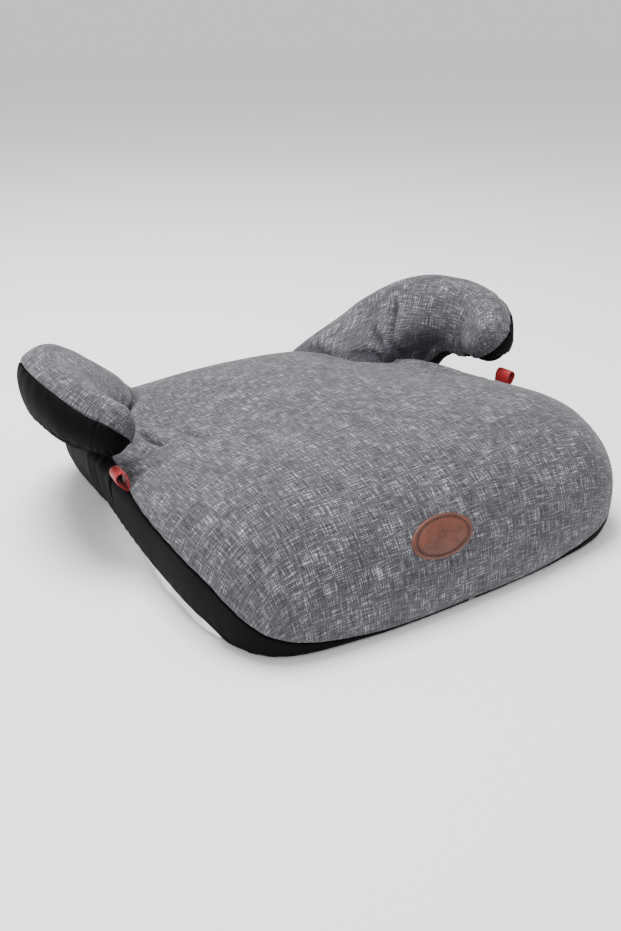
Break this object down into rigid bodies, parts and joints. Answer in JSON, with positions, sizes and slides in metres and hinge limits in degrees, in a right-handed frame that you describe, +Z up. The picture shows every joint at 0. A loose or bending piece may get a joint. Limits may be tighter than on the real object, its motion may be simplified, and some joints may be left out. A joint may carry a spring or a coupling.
{
  "type": "backless child booster seat",
  "caption": "Low backless booster seat: rounded foam base in a sewn cover, with hooked armrests, red belt tabs and a leather badge.",
  "frame": {"origin": "centre of the footprint, on the floor plane under the base", "axes": "-Y to the front, +X to the right of someone who looks at the front, +Z up"},
  "size_m": [0.4758, 0.4161, 0.1522],
  "materials": {
    "grey_cloth": "melange woven upholstery cloth",
    "black_cloth": "matte woven cloth",
    "bead_foam": "moulded white expanded-bead foam",
    "soft_foam": "open-cell foam",
    "red_webbing": "ribbed webbing",
    "brown_leather": "debossed satin",
    "thread": "twisted thread",
    "label_film": "printed satin film",
    "elastic": "knitted elastic"
  },
  "bodies": {
    "seat": {"foam_core": "bead_foam", "seat_pad": "soft_foam", "armrest_pad_left": "soft_foam", "armrest_pad_right": "soft_foam", "cover_seat_top": "grey_cloth", "cover_side_left": "black_cloth", "cover_side_right": "black_cloth", "cover_rear": "black_cloth", "cover_armrest_inner_left": "grey_cloth", "cover_armrest_inner_right": "grey_cloth", "cover_armrest_outer_left": "black_cloth", "cover_armrest_outer_right": "black_cloth", "cover_armrest_gusset_left": "black_cloth", "cover_armrest_gusset_right": "black_cloth", "hem_binding": "black_cloth", "hem_elastic": "elastic", "badge": "brown_leather", "badge_stitching": "thread", "side_label": "label_film"},
    "belt_tab_left": {"belt_loop_left": "red_webbing"},
    "belt_tab_right": {"belt_loop_right": "red_webbing"}
  },
  "joints": [
    {"name": "belt_tab_left_fold", "type": "hinge", "parent": "seat", "child": "belt_tab_left", "pos_m": [-0.19452, -0.02034, 0.07307], "axis": [-0.0895, -0.996, 0], "range_deg": [-30, 60], "stiffness_Nm_per_rad": 0.01},
    {"name": "belt_tab_right_fold", "type": "hinge", "parent": "seat", "child": "belt_tab_right", "pos_m": [0.19452, -0.02034, 0.07307], "axis": [-0.0895, 0.996, 0], "range_deg": [-30, 60], "stiffness_Nm_per_rad": 0.01}
  ]
}
